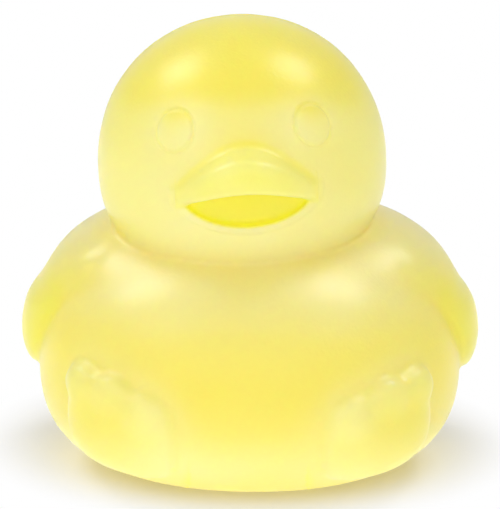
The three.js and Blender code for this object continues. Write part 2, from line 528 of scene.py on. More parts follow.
@dataclass(frozen=True)
class Foot:
    """A flat webbed foot: a sole with toes fanned over its top edge."""

    side: Side
    facing: float = 38.0
    sole: Pad = Pad(9.2, 9.2, 7.6, 1.8, 2.8, slant=7.0)
    sole_height: float = 11.0
    toe: Pad = Pad(2.9, 2.9, 2.5, 2.1, 2.0)
    toe_pitch: float = 5.4
    toe_heights: tuple[float, ...] = (15.0, 17.3, 18.0)
    web: float = 2.0
    crease: float = 1.1
    near_front: float = -5.0
    near_top: float = 26.0

    def mirrored(self, points: np.ndarray) -> np.ndarray:
        """Exchanges left and right where the foot is on the left."""
        return points * np.array([float(self.side.value), 1.0, 1.0])

    def pads(self, body: Body) -> list[tuple[Pad, Seat]]:
        """Lists the sole and the toes, from the inner one out, with their seats on the trunk."""
        middle = (len(self.toe_heights) - 1) / 2.0
        seats = [(self.sole, body.seat(self.facing, self.sole_height))]
        for index, height in enumerate(self.toe_heights):
            turn = math.degrees((index - middle) * self.toe_pitch / body.form.front)
            seats.append((self.toe, body.seat(self.facing + turn, height)))
        return seats

    def add_shell(self, bm: bmesh.types.BMesh, body: Body) -> None:
        """Adds the foot's rough shells.

        Args:
            bm: The mesh to add to.
            body: The trunk that carries the foot.
        """
        up = np.array([0.0, 0.0, body.centre_height])
        for pad, seat in self.pads(body):
            add_ball(bm, lambda unit, p=pad, s=seat: self.mirrored(p.wrapped(unit, s) + up))

    def skin(self, points: np.ndarray, body: Body) -> Skin:
        """Gives the foot's surface.

        Args:
            points: The points that look at it.
            body: The trunk that carries the foot.

        Returns:
            The foot's skin.
        """
        near = (points[:, 0] * self.side.value > 0.0) & (points[:, 1] < self.near_front)
        near = near & (points[:, 2] < self.near_top)
        whole: Skin | None = None
        for pad, seat in self.pads(body):

            def level(spots: np.ndarray, p: Pad = pad, s: Seat = seat) -> np.ndarray:
                """Gives how far out of the pad each spot lies."""
                return p.level(body.centred(self.mirrored(spots)), s)

            part = skin_of(level, points, near)
            whole = part if whole is None else whole.joined(part, self.web)
        return whole


@dataclass(frozen=True)
class Bill:
    """The upper bill: a thick lip with a soft ridge, arched over the open mouth."""

    half_width: float = 9.9
    reach: float = 4.4
    arch: float = 6.15
    ridge_corner: float = -0.6
    ridge_arch: float = 5.1
    ridge_reach: float = 0.9
    lip_corner: float = -2.4
    lip_arch: float = 2.6
    sink: float = 2.4
    end_tuck: float = 0.4
    end_fullness: float = 0.6
    thinnest_top: float = 0.3
    flattest_top: float = 0.7
    ridge_rounding: float = 0.8
    lip_rounding: float = 1.0
    crease: float = 0.9
    shell_cuts: int = 15
    near_side: float = 12.0
    near_front: float = -8.0
    near_low: float = -10.0
    near_above: float = 1.6

    def lines(self, x: np.ndarray) -> tuple[np.ndarray, np.ndarray, np.ndarray, np.ndarray]:
        """Works out the bill's arches at places across.

        Args:
            x: How far to the right each place lies.

        Returns:
            The heights of the lip, the ridge and the crease, and how far the bill stands out.
        """
        along = np.clip(x / self.half_width, -1.0, 1.0)
        bend = np.cos(along * math.pi / 2.0)
        lip = self.lip_corner + self.lip_arch * bend
        ridge = self.ridge_corner + self.ridge_arch * bend
        crease = self.arch * bend
        beyond = np.maximum(np.abs(x) - self.half_width, 0.0)
        fullness = (1.0 - along**2) ** self.end_fullness
        out = (self.reach + self.end_tuck) * fullness - self.end_tuck - beyond
        return lip, ridge, crease, out

    def add_shell(self, bm: bmesh.types.BMesh, head: BallForm, placing: Matrix) -> None:
        """Adds the bill's rough shell.

        Args:
            bm: The mesh to add to.
            head: The form of the head.
            placing: Where the head sits.
        """
        made = bmesh.ops.create_cube(bm, size=2.0)
        edges = list({edge for vert in made["verts"] for edge in vert.link_edges})
        bmesh.ops.subdivide_edges(bm, edges=edges, cuts=self.shell_cuts, use_grid_fill=True)
        verts = [vert for vert in bm.verts if max(abs(c) for c in vert.co) <= 1.0 + 1e-6]
        unit = np.array([vert.co for vert in verts])
        lip, ridge, crease, out = self.lines(unit[:, 0] * self.half_width)
        share = unit[:, 2] + 1.0
        low = lip + (ridge - lip) * share
        height = np.where(share < 1.0, low, ridge + (crease - ridge) * (share - 1.0))
        profile = np.where(share < 1.0, 1.0 - 0.1 * share, self.ridge_reach * (2.0 - share))
        proud = np.where(unit[:, 1] < 0.0, -unit[:, 1] * out * profile, -self.sink * unit[:, 1])
        x = unit[:, 0] * self.half_width
        y = -head.front_of(x, height) - proud
        for vert, spot in zip(verts, turned(np.stack([x, y, height], axis=1), placing)):
            vert.co = spot

    def skin(self, points: np.ndarray, head: BallForm) -> Skin:
        """Gives the bill's surface in the head's frame.

        Args:
            points: Points in the head's frame.
            head: The form of the head.

        Returns:
            The bill's skin.
        """
        above = points[:, 2] - self.lines(points[:, 0])[2]
        near = (np.abs(points[:, 0]) < self.near_side) & (points[:, 1] < self.near_front)
        near = near & (points[:, 2] > self.near_low) & (above < self.near_above)

        def front(spots: np.ndarray) -> np.ndarray:
            """Gives how far each spot lies in front of the bill's front face."""
            lip, ridge, _, out = self.lines(spots[:, 0])
            share = np.clip((spots[:, 2] - lip) / (ridge - lip), -1.0, 3.0)
            proud = -spots[:, 1] - head.front_of(spots[:, 0], spots[:, 2])
            return proud - out * (1.0 - (1.0 - self.ridge_reach) * share)

        def top(spots: np.ndarray) -> np.ndarray:
            """Gives how far each spot lies above the slope from the ridge to the crease."""
            _, ridge, crease, out = self.lines(spots[:, 0])
            thickness = np.maximum(crease - ridge, self.thinnest_top)
            steepness = np.maximum(out * self.ridge_reach / thickness, self.flattest_top)
            proud = -spots[:, 1] - head.front_of(spots[:, 0], spots[:, 2])
            return proud + steepness * (spots[:, 2] - crease)

        def under(spots: np.ndarray) -> np.ndarray:
            """Gives how far each spot lies below the lip."""
            return self.lines(spots[:, 0])[0] - spots[:, 2]

        faces = skin_of(front, points, near).kept_inside(skin_of(top, points, near), self.ridge_rounding)
        return faces.kept_inside(skin_of(under, points, near), self.lip_rounding)


@dataclass(frozen=True)
class Mouth:
    """The open mouth: a shallow hollow inside the thin raised rim of the lower bill."""

    half_width: float = 9.9
    drop: float = 5.7
    top: float = 0.8
    corner_height: float = -0.3
    rise: float = 0.6
    rim_width: float = 0.9
    depth: float = 1.7
    rim_fillet: float = 0.6
    rim_rounding: float = 0.5
    near_side: float = 12.0
    near_front: float = -8.0
    near_height: float = 9.0

    def lens(self, unit: np.ndarray, head: BallForm, inset: float, thickness: float) -> np.ndarray:
        """Shapes a unit ball into a lens laid on the face.

        Args:
            unit: Points of a unit ball.
            head: The form of the head.
            inset: How much smaller the lens is all round.
            thickness: How far it stands out and sinks in.

        Returns:
            The lens's points in the head's frame.
        """
        x = unit[:, 0] * (self.half_width - inset)
        tall = np.where(unit[:, 2] > 0.0, self.top, self.drop - inset)
        z = self.corner_height + unit[:, 2] * tall
        return np.stack([x, unit[:, 1] * thickness - head.front_of(x, z), z], axis=1)

    def lens_skin(self, points: np.ndarray, head: BallForm, inset: float, thickness: float) -> Skin:
        """Gives the surface of a lens laid on the face.

        Args:
            points: Points in the head's frame.
            head: The form of the head.
            inset: How much smaller the lens is all round.
            thickness: How far it stands out and sinks in.

        Returns:
            The lens's skin.
        """
        near = (np.abs(points[:, 0]) < self.near_side) & (points[:, 1] < self.near_front)
        near = near & (np.abs(points[:, 2]) < self.near_height)

        def level(spots: np.ndarray) -> np.ndarray:
            """Gives how far out of the lens each spot lies."""
            across = spots[:, 0] / (self.half_width - inset)
            height = spots[:, 2] - self.corner_height
            tall = height / np.where(height > 0.0, self.top, self.drop - inset)
            proud = (-spots[:, 1] - head.front_of(spots[:, 0], spots[:, 2])) / thickness
            return np.sqrt(across**2 + tall**2 + proud**2 + 1e-9) - 1.0

        return skin_of(level, points, near)


@dataclass(frozen=True)
class Eye:
    """An oval line pressed into the face, round a slightly swollen middle."""

    side: Side
    width: float = 5.8
    height: float = 6.1
    spread: float = 9.6
    lift: float = 8.0
    line_width: float = 0.26
    line_depth: float = 0.19
    swell: float = 0.12
    swell_edge: tuple[float, float] = (0.3, 1.1)

    def across(self, points: np.ndarray, head: BallForm) -> np.ndarray:
        """Gives how far out from the eye's middle each point lies, where 1 is on the line.

        Args:
            points: Points in the head's frame.
            head: The form of the head.

        Returns:
            The share for each point.
        """
        place = float(head.front_of(np.array([self.spread]), np.array([self.lift]))[0])
        seat = Seat(head, Vector((self.side.value * self.spread, -place, self.lift)))
        drawn = seat.unwrapped(points)
        return np.hypot(drawn[:, 0] / (self.width / 2.0), drawn[:, 1] / (self.height / 2.0))

    def relief(self, points: np.ndarray, head: BallForm) -> np.ndarray:
        """Gives how far the face is raised at each point.

        Args:
            points: Points in the head's frame.
            head: The form of the head.

        Returns:
            The rise, which is negative in the line.
        """
        share = self.across(points, head)
        offset = (share - 1.0) * (self.width + self.height) / 4.0
        raised = self.swell * (1.0 - smooth_step(share, *self.swell_edge))
        return raised - self.line_depth * hump(offset, self.line_width)


@dataclass(frozen=True)
class Head:
    """The round head with its bill, mouth and eyes, turned and leaned as it sits on the body."""

    form: BallForm = BallForm(20.5, 20.0, 20.0, 20.5, 15.6, 2.0, 2.05, 2.5)
    neck_overlap: float = 8.2
    forward: float = 2.5
    lean: float = 2.9
    turn: float = 2.2
    neck_fillet: float = 1.0
    bill: Bill = field(default_factory=Bill)
    mouth: Mouth = field(default_factory=Mouth)
    eyes: tuple[Eye, ...] = (Eye(Side.LEFT), Eye(Side.RIGHT))
    # Where and how strongly shade is painted, as a deeper yellow, in the mouth and on the bill.
    hollow_edge: tuple[float, float] = (0.08, 0.5)
    bill_edge: tuple[float, float] = (0.15, 0.8)
    bill_shade_share: float = 0.45
    # Painted shade round the head's sides and over its crown: how strong it is, and where it starts and
    # ends.
    side_shade_share: float = 0.26
    side_start: float = 8.0
    side_end: float = 19.0
    crown_start: float = 16.5
    crown_end: float = 22.5
    chin_edge: tuple[float, float] = (-14.0, -5.0)
    head_edge: tuple[float, float] = (1.0, 4.0)
    seam_depth: float = 3.0
    seam_height: float = 0.14
    seam_width: float = 0.22
    seam_reach: float = 0.7
    seam_drop: float = 0.8
    side_margin: float = 1.0
    arch_margin: float = 0.8
    chin_margin: float = 1.2
    eye_margin: float = 0.8

    def placing(self, body: Body) -> Matrix:
        """Gives the matrix that seats the head on a trunk."""
        neck = body.form.rise + self.form.drop - self.neck_overlap
        turn = Matrix.Rotation(math.radians(self.turn), 4, "Z")
        raised = Matrix.Translation(Vector((0.0, -self.forward, neck)))
        leaned = Matrix.Rotation(-math.radians(self.lean), 4, "Y")
        return Matrix.Translation(Vector((0.0, 0.0, body.centre_height))) @ leaned @ raised @ turn

    def add_shell(self, bm: bmesh.types.BMesh, body: Body) -> None:
        """Adds the rough shells of the head and the lower bill's rim.

        Args:
            bm: The mesh to add to.
            body: The trunk that carries the head.
        """
        placing = self.placing(body)
        add_ball(bm, lambda unit: turned(self.form.shaped(unit), placing), 6)
        rim = self.mouth
        add_ball(bm, lambda unit: turned(rim.lens(unit, self.form, 0.0, rim.rise), placing))

    def add_bill_shell(self, bm: bmesh.types.BMesh, body: Body) -> None:
        """Adds the upper bill's rough shell, for a trunk that carries the head."""
        self.bill.add_shell(bm, self.form, self.placing(body))

    def add_hollow(self, bm: bmesh.types.BMesh, body: Body) -> None:
        """Adds the rough shell of the mouth's hollow, which is cut out.

        Args:
            bm: The mesh to add to.
            body: The trunk that carries the head.
        """
        placing = self.placing(body)
        hollow = self.mouth

        def place(unit: np.ndarray) -> np.ndarray:
            """Shapes a unit ball into the hollow."""
            return turned(hollow.lens(unit, self.form, hollow.rim_width, hollow.depth), placing)

        add_ball(bm, place)

    def skin(self, points: np.ndarray, body: Body) -> Skin:
        """Gives the head's surface.

        Args:
            points: The points that look at it.
            body: The trunk that carries the head.

        Returns:
            The head's skin.
        """
        placing = self.placing(body)
        own = turned(points, placing.inverted())
        whole = skin_of(self.form.level, own)
        whole.distance = whole.distance - self.relief(own)
        mouth = self.mouth
        rim = mouth.lens_skin(own, self.form, 0.0, mouth.rise)
        hollow = mouth.lens_skin(own, self.form, mouth.rim_width, mouth.depth)
        whole = whole.joined(rim, mouth.rim_fillet).cut_by(hollow, mouth.rim_rounding)
        whole = whole.joined(self.bill.skin(own, self.form), self.bill.crease)
        return Skin(whole.distance, whole.outward @ np.array(placing)[:3, :3].T)

    def relief(self, own: np.ndarray) -> np.ndarray:
        """Gives the fine rise of the surface: the eyes and the line where the mould parted."""
        rise = self.seam_height * hump(own[:, 1] - self.seam_depth, self.seam_width)
        for eye in self.eyes:
            rise = rise + eye.relief(own, self.form)
        return rise

    def mouth_shade_share(self, points: np.ndarray, body: Body) -> np.ndarray:
        """Says where shade is painted in the open mouth's hollow, and more faintly on the upper bill.

        Args:
            points: Points on the duck's surface.
            body: The trunk that carries the head.

        Returns:
            1 in the mouth's hollow, less on the bill and 0 away from both.
        """
        own = turned(points, self.placing(body).inverted())
        hollow = self.mouth.lens_skin(own, self.form, self.mouth.rim_width, self.mouth.depth)
        inside = 1.0 - smooth_step(np.abs(hollow.distance), *self.hollow_edge)
        bill = 1.0 - smooth_step(np.abs(self.bill.skin(own, self.form).distance), *self.bill_edge)
        return np.maximum(inside, self.bill_shade_share * bill)

    def painted_side_shade(self, points: np.ndarray, body: Body) -> np.ndarray:
        """Says how much shade is painted round the head as a deeper yellow, where the face stays palest.

        Args:
            points: Points on the duck's surface.
            body: The trunk that carries the head.

        Returns:
            0 on the face and off the head, rising round to the sides, the crown and the back.
        """
        own = turned(points, self.placing(body).inverted())
        aside = np.where(own[:, 1] < 0.0, np.abs(own[:, 0]), self.side_end)
        on_head = 1.0 - smooth_step(np.abs(skin_of(self.form.level, own).distance), *self.head_edge)
        above = smooth_step(own[:, 2], *self.chin_edge)
        round_side = smooth_step(aside, self.side_start, self.side_end)
        over_crown = smooth_step(own[:, 2], self.crown_start, self.crown_end)
        return self.side_shade_share * np.maximum(round_side, over_crown) * on_head * above

    def fineness(self, points: np.ndarray, body: Body) -> np.ndarray:
        """Says how often the faces at some points are divided for the fine detail there.

        Args:
            points: The faces' centres.
            body: The trunk that carries the head.

        Returns:
            The number of divisions at each point.
        """
        own = turned(points, self.placing(body).inverted())
        above = own[:, 2] > -self.form.drop * self.seam_drop
        wanted = np.where((np.abs(own[:, 1] - self.seam_depth) < self.seam_reach) & above, 1, 0)
        face = (np.abs(own[:, 0]) < self.bill.half_width + self.side_margin) & (own[:, 1] < 0.0)
        face = face & (own[:, 2] < self.bill.arch + self.arch_margin)
        face = face & (own[:, 2] > -self.mouth.drop - self.chin_margin)
        wanted = np.where(face, 1, wanted)
        for eye in self.eyes:
            offset = np.abs(eye.across(own, self.form) - 1.0) * eye.width / 2.0
            wanted = np.where(offset < self.eye_margin, 2, wanted)
        return wanted


# Finishes


def linear(hex_code: str) -> tuple[float, float, float, float]:
    """Turns an sRGB hex colour into the linear one that shaders use.

    Args:
        hex_code: The colour as six hex digits.

    Returns:
        Red, green, blue and alpha.
    """
    parts = [int(hex_code[i : i + 2], 16) / 255.0 for i in (0, 2, 4)]
    red, green, blue = (c / 12.92 if c <= 0.04045 else ((c + 0.055) / 1.055) ** 2.4 for c in parts)
    return red, green, blue, 1.0


def add_node(tree: bpy.types.NodeTree, kind: str, settings: dict[str, Any] | None = None,
             inputs: dict[str | int, Any] | None = None) -> bpy.types.Node:
    """Adds one node with its settings, values and links.

    Args:
        tree: The node tree to add to.
        kind: The node's type name.
        settings: The node's own properties.
        inputs: A value or a linked output for each input, by its name or its number.

    Returns:
        The new node.
    """
    node = tree.nodes.new(kind)
    for name, value in (settings or {}).items():
        setattr(node, name, value)
    for key, value in (inputs or {}).items():
        if isinstance(value, bpy.types.NodeSocket):
            tree.links.new(value, node.inputs[key])
        else:
            node.inputs[key].default_value = value
    return node


def new_material(name: str) -> tuple[bpy.types.Material, bpy.types.NodeTree]:
    """Makes an empty node material.

    Args:
        name: The material's name.

    Returns:
        The material and its emptied node tree.
    """
    material = bpy.data.materials.new(name)
    material.use_nodes = True
    material.node_tree.nodes.clear()
    return material, material.node_tree


@dataclass(frozen=True)
class GelRubber:
    """Thermoplastic rubber, moulded solid and lightly frosted.

    Light goes deep into it and comes out soft and yellow, so its shading is faint and its thin edges
    glow. Its yellow is painted paler where little gel lies behind a point and deeper where much does,
    as painted light and shade for light through the gel, and painted shade deepens it in the mouth, on
    the bill and the wings and round the head's sides. Its skin has a satin gloss, a little uneven where
    the mould was handled. The depths, reaches and sizes are in millimetres.
    """

    name: str = "moulded_gel_rubber"
    # Painted light and shade for light through the gel: these colours and depths pale thin gel and deepen
    # thick gel.
    thin_colour: str = "FDF1AA"
    thick_colour: str = "FCE85C"
    thin: float = 36.0
    thick: float = 62.0
    cloud_colour: str = "FAEA78"
    cloud_share: float = 0.3
    cloud_low: float = 0.35
    cloud_high: float = 0.65
    roughness: float = 0.33
    ior: float = 1.5
    specular: float = 0.3
    scatter_depth: float = 18.0
    scatter_red: float = 1.0
    scatter_green: float = 0.85
    scatter_blue: float = 0.22
    # The yellow of the painted shade in the mouth, on the bill and wings and round the head's sides.
    painted_shade_colour: str = "FDF048"
    clearness: float = 0.2
    depth_colour: str = "FEFBB0"
    depth_reach: float = 30.0
    # Slow clouds in the gel, as wide as its flow in the mould left them.
    cloud_size: float = 14.0
    # Shallow ripples that the soft skin keeps.
    ripple_size: float = 5.0
    ripple_height: float = 0.05
    # The real frosting is taken as 0.1 mm, too fine to show, so it is drawn about five times coarser.
    frost_size: float = 0.55
    frost_height: float = 0.03

    def made(self) -> bpy.types.Material:
        """Makes the material."""
        material, tree = new_material(self.name)
        where = add_node(tree, "ShaderNodeTexCoord")
        cloud = add_node(tree, "ShaderNodeTexNoise", {}, {
            "Vector": where.outputs["Object"], "Scale": 1.0 / (self.cloud_size * MM), "Detail": 2.0,
        })
        spread = add_node(tree, "ShaderNodeMapRange", {}, {
            "Value": cloud.outputs["Fac"],
            "From Min": self.cloud_low, "From Max": self.cloud_high, "To Max": self.cloud_share,
        })
        # Painted light and shade for light through the gel: paler where it is thin, deeper where it is
        # thick.
        depth = add_node(tree, "ShaderNodeAttribute", {"attribute_name": GEL_DEPTH})
        thickness = add_node(tree, "ShaderNodeMapRange", {"interpolation_type": "SMOOTHSTEP"}, {
            "Value": depth.outputs["Fac"], "From Min": self.thin, "From Max": self.thick,
        })
        body_colour = add_node(tree, "ShaderNodeMix", {"data_type": "RGBA"}, {
            0: thickness.outputs["Result"], 6: linear(self.thin_colour), 7: linear(self.thick_colour),
        })
        colour = add_node(tree, "ShaderNodeMix", {"data_type": "RGBA"}, {
            0: spread.outputs["Result"], 6: body_colour.outputs[2], 7: linear(self.cloud_colour),
        })
        # Painted shade: a deeper yellow wherever the moulding marks it.
        deeper = add_node(tree, "ShaderNodeAttribute", {"attribute_name": PAINTED_SHADE})
        deep = add_node(tree, "ShaderNodeMix", {"data_type": "RGBA"}, {
            0: deeper.outputs["Fac"], 6: colour.outputs[2], 7: linear(self.painted_shade_colour),
        })
        ripple = add_node(tree, "ShaderNodeTexNoise", {}, {
            "Vector": where.outputs["Object"], "Scale": 1.0 / (self.ripple_size * MM), "Detail": 3.0,
        })
        frost = add_node(tree, "ShaderNodeTexNoise", {}, {
            "Vector": where.outputs["Object"], "Scale": 1.0 / (self.frost_size * MM), "Detail": 2.0,
        })
        fine = add_node(tree, "ShaderNodeBump", {}, {
            "Strength": 1.0, "Distance": self.frost_height * MM, "Height": frost.outputs["Fac"],
        })
        bump = add_node(tree, "ShaderNodeBump", {}, {
            "Strength": 1.0, "Distance": self.ripple_height * MM, "Height": ripple.outputs["Fac"],
            "Normal": fine.outputs["Normal"],
        })
        shader = add_node(tree, "ShaderNodeBsdfPrincipled", {"subsurface_method": "RANDOM_WALK"}, {
            "Base Color": deep.outputs[2],
            "Roughness": self.roughness,
            "IOR": self.ior,
            "Specular IOR Level": self.specular,
            "Subsurface Weight": 1.0,
            "Subsurface Radius": (self.scatter_red, self.scatter_green, self.scatter_blue),
            "Subsurface Scale": self.scatter_depth * MM,
            "Transmission Weight": self.clearness,
            "Normal": bump.outputs["Normal"],
        })
        tint = add_node(tree, "ShaderNodeVolumeAbsorption", {}, {
            "Color": linear(self.depth_colour), "Density": 1.0 / (self.depth_reach * MM),
        })
        add_node(tree, "ShaderNodeOutputMaterial", {}, {
            "Surface": shader.outputs["BSDF"], "Volume": tint.outputs["Volume"],
        })
        return material


@dataclass(frozen=True)
class StudioPaper:
    """Matt white paper under and behind the duck, which keeps its shadow.

    It glows as a light table does and lights the duck from below. The camera sees it darker close to
    the duck than it lights the duck, a painted shade round the duck on top of its real shadow, fading to
    plain white further out. The fade's distances are in millimetres.
    """

    name: str = "matt_studio_paper"
    colour: str = "F8F8F7"
    # The camera sees the paper in this darker colour and with this much less glow: a painted shade near the
    # duck.
    shaded_seen_colour: str = "DCDCDB"
    glow: float = 0.46
    seen_drop: float = 0.35
    fade_start: float = 25.0
    fade_end: float = 42.0
    fade_back: float = 11.0

    def made(self) -> bpy.types.Material:
        """Makes the material."""
        material, tree = new_material(self.name)
        seen = add_node(tree, "ShaderNodeLightPath")
        # Painted shade: the camera sees the paper darker and glowing less, until the fade turns it plain
        # white.
        tone = add_node(tree, "ShaderNodeMix", {"data_type": "RGBA"}, {
            0: seen.outputs["Is Camera Ray"], 6: linear(self.colour), 7: linear(self.shaded_seen_colour),
        })
        paper = add_node(tree, "ShaderNodeBsdfDiffuse", {}, {"Color": tone.outputs[2]})
        glow = add_node(tree, "ShaderNodeMath", {"operation": "MULTIPLY_ADD"}, {
            0: seen.outputs["Is Camera Ray"], 1: -self.seen_drop, 2: self.glow,
        })
        light = add_node(tree, "ShaderNodeEmission", {}, {
            "Color": linear("FFFFFF"), "Strength": glow.outputs[0],
        })
        near = add_node(tree, "ShaderNodeAddShader", {}, {0: paper.outputs[0], 1: light.outputs[0]})
        where = add_node(tree, "ShaderNodeTexCoord")
        oval = add_node(tree, "ShaderNodeMapping", {}, {
            "Vector": where.outputs["Object"], "Location": (0.0, -self.fade_back * MM, 0.0),
        })
        reach = add_node(tree, "ShaderNodeVectorMath", {"operation": "LENGTH"}, {
            0: oval.outputs["Vector"],
        })
        fade = add_node(tree, "ShaderNodeMapRange", {"interpolation_type": "SMOOTHSTEP"}, {
            "Value": reach.outputs["Value"],
            "From Min": self.fade_start * MM, "From Max": self.fade_end * MM,
        })
        share = add_node(tree, "ShaderNodeMath", {"operation": "MULTIPLY"}, {
            0: fade.outputs["Result"], 1: seen.outputs["Is Camera Ray"],
        })
        plain = add_node(tree, "ShaderNodeEmission", {}, {"Color": linear("FFFFFF"), "Strength": 1.0})
        both = add_node(tree, "ShaderNodeMixShader", {}, {
            0: share.outputs[0], 1: near.outputs[0], 2: plain.outputs[0],
        })
        add_node(tree, "ShaderNodeOutputMaterial", {}, {"Surface": both.outputs[0]})
        return material


# The moulding


@dataclass(frozen=True)
class Moulding:
    """The whole duck, as the one piece that it was moulded in."""

    body: Body = field(default_factory=Body)
    tail: Tail = field(default_factory=Tail)
    wings: tuple[Wing, ...] = (Wing(Side.LEFT), Wing(Side.RIGHT))
    feet: tuple[Foot, ...] = (Foot(Side.LEFT), Foot(Side.RIGHT))
    head: Head = field(default_factory=Head)
    finish: GelRubber = field(default_factory=GelRubber)
    grain: float = 0.5
    quick_grain: float = 0.8
    longest_step: float = 0.6
    least_slope: float = 0.05
    skin_step: float = 0.1
    rounds: int = 5
    settling: int = 3
    evening: int = 160
    # How strongly shade is painted on the wings, as a deeper yellow.
    wing_shade_share: float = 0.45
    # Painted light from the floor: near the base the gel counts as this much thinner, which pales its
    # yellow.
    painted_base_light: float = 15.0
    painted_base_light_low: float = 4.0
    painted_base_light_high: float = 22.0

    def skin(self, points: np.ndarray) -> Skin:
        """Gives the duck's whole surface as the points see it."""
        whole = self.body.skin(points)
        whole = whole.joined(self.tail.skin(points, self.body), self.tail.fillet)
        for wing in self.wings:
            whole = whole.joined(wing.skin(points, self.body), wing.fillet(points))
        for foot in self.feet:
            whole = whole.joined(foot.skin(points, self.body), foot.crease)
        whole = whole.joined(self.head.skin(points, self.body), self.head.neck_fillet)
        return whole.kept_inside(self.body.floor(points), self.body.base_rounding)

    def rough_shell(self) -> bpy.types.Object:
        """Joins the forms' rough shells, cuts the mouth and the base, and gives it an even mesh."""
        grain = self.grain
        shells = bmesh.new()
        self.head.add_shell(shells, self.body)
        self.body.add_shell(shells)
        self.tail.add_shell(shells, self.body)
        for part in (*self.wings, *self.feet):
            part.add_shell(shells, self.body)
        bmesh.ops.recalc_face_normals(shells, faces=shells.faces)
        piece = object_from(shells, "rough_shell")
        apply_modifier(piece, "REMESH", mode="VOXEL", voxel_size=grain)
        hollow = bmesh.new()
        self.head.add_hollow(hollow, self.body)
        bmesh.ops.recalc_face_normals(hollow, faces=hollow.faces)
        cutter = object_from(hollow, "mouth_hollow")
        apply_modifier(piece, "BOOLEAN", operation="DIFFERENCE", object=cutter)
        bpy.data.objects.remove(cutter)
        self.finish_shell(piece)
        apply_modifier(piece, "REMESH", mode="VOXEL", voxel_size=grain)
        return piece

    def finish_shell(self, piece: bpy.types.Object) -> None:
        """Adds the upper bill to a shell, cuts it flat at the floor and closes the cut."""
        bm = bmesh.new()
        self.head.add_bill_shell(bm, self.body)
        bmesh.ops.recalc_face_normals(bm, faces=bm.faces)
        bm.from_mesh(piece.data)
        everything = [*bm.verts, *bm.edges, *bm.faces]
        cut = bmesh.ops.bisect_plane(bm, geom=everything, plane_co=(0.0, 0.0, 0.0),
                                     plane_no=(0.0, 0.0, 1.0), clear_inner=True)
        rim = [item for item in cut["geom_cut"] if isinstance(item, bmesh.types.BMEdge)]
        bmesh.ops.contextual_create(bm, geom=rim)
        bm.to_mesh(piece.data)
        bm.free()

    def divide_fine_places(self, bm: bmesh.types.BMesh) -> None:
        """Divides the faces round the eyes, the bill and the parting line."""
        for division in range(2):
            centres = np.array([face.calc_center_median() for face in bm.faces])
            wanted = self.head.fineness(centres, self.body) > division
            chosen = [face for face, fine in zip(bm.faces, wanted) if fine]
            edges = list({edge for face in chosen for edge in face.edges})
            bmesh.ops.subdivide_edges(bm, edges=edges, cuts=1, use_grid_fill=True)
            many = [face for face in bm.faces if len(face.verts) > 4]
            bmesh.ops.triangulate(bm, faces=many)

    def draw_on(self, bm: bmesh.types.BMesh) -> None:
        """Moves the mesh's points straight onto the duck's surface."""
        spots = np.array([vert.co for vert in bm.verts])
        skin = self.skin(spots)
        size = np.maximum((skin.outward**2).sum(axis=1), self.least_slope)
        move = np.clip(skin.distance / size, -self.longest_step, self.longest_step)
        spots = spots - skin.outward * move[:, None]
        spots[:, 2] = np.maximum(spots[:, 2], 0.0)
        for vert, spot in zip(bm.verts, spots):
            vert.co = spot

    def mark_colour(self, bm: bmesh.types.BMesh) -> None:
        """Notes at each point how much gel lies behind it, and how much shade is painted on it as a deeper
        yellow.

        Near the base the gel counts as thinner, as painted light from the floor coming up through it.

        Args:
            bm: The finished mesh, in millimetres.
        """
        spots = np.array([vert.co for vert in bm.verts])
        # Painted shade, as a deeper yellow: in the mouth, on the bill, round the head's sides and on the
        # wings.
        shares = np.maximum(self.head.mouth_shade_share(spots, self.body), self.head.painted_side_shade(spots, self.body))
        for wing in self.wings:
            shares = np.maximum(shares, self.wing_shade_share * wing.share(spots, self.body))
        deeper = bm.verts.layers.float.new(PAINTED_SHADE)
        behind = bm.verts.layers.float.new(GEL_DEPTH)
        # Painted light from the floor: the gel counts as thinner near the base, which pales its yellow.
        paler = self.painted_base_light * (1.0 - smooth_step(spots[:, 2], self.painted_base_light_low, self.painted_base_light_high))
        for vert, share, depth in zip(bm.verts, shares, self.gel_depth(bm) - paler):
            vert[deeper] = share
            vert[behind] = depth

    def gel_depth(self, bm: bmesh.types.BMesh) -> np.ndarray:
        """Finds how far it is from each point straight through the gel, evened out along the surface.

        Args:
            bm: The finished mesh, in millimetres.

        Returns:
            The depth at each point.
        """
        bm.normal_update()
        bm.verts.index_update()
        tree = BVHTree.FromBMesh(bm)
        depth = np.zeros(len(bm.verts))
        for index, vert in enumerate(bm.verts):
            hit = tree.ray_cast(vert.co - vert.normal * self.skin_step, -vert.normal)
            depth[index] = hit[3] if hit[3] is not None else 0.0
        edges = np.array([[vert.index for vert in edge.verts] for edge in bm.edges])
        count = np.bincount(edges.ravel(), minlength=len(depth))
        for _ in range(self.evening):
            total = np.bincount(edges[:, 0], depth[edges[:, 1]], len(depth))
            total = total + np.bincount(edges[:, 1], depth[edges[:, 0]], len(depth))
            depth = 0.5 * depth + 0.5 * total / count
        return depth

    def build(self) -> bpy.types.Object:
        """Makes the duck's mesh.

        Returns:
            The finished piece.
        """
        rough = self.rough_shell()
        bm = bmesh.new()
        bm.from_mesh(rough.data)
        bpy.data.objects.remove(rough)
        for _ in range(self.settling):
            self.draw_on(bm)
            bmesh.ops.smooth_vert(bm, verts=bm.verts, factor=0.5,
                                  use_axis_x=True, use_axis_y=True, use_axis_z=True)
        self.divide_fine_places(bm)
        for _ in range(self.rounds):
            self.draw_on(bm)
        bmesh.ops.recalc_face_normals(bm, faces=bm.faces)
        self.mark_colour(bm)
        bmesh.ops.scale(bm, vec=(MM, MM, MM), verts=bm.verts)
        piece = object_from(bm, "gel_duck")
        for polygon in piece.data.polygons:
            polygon.use_smooth = True
        return piece

    def dress(self, piece: bpy.types.Object) -> None:
        """Gives the duck its finish and ties it to the frame."""
        piece.data.materials.append(self.finish.made())
        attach(piece, "root")
        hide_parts("duck")


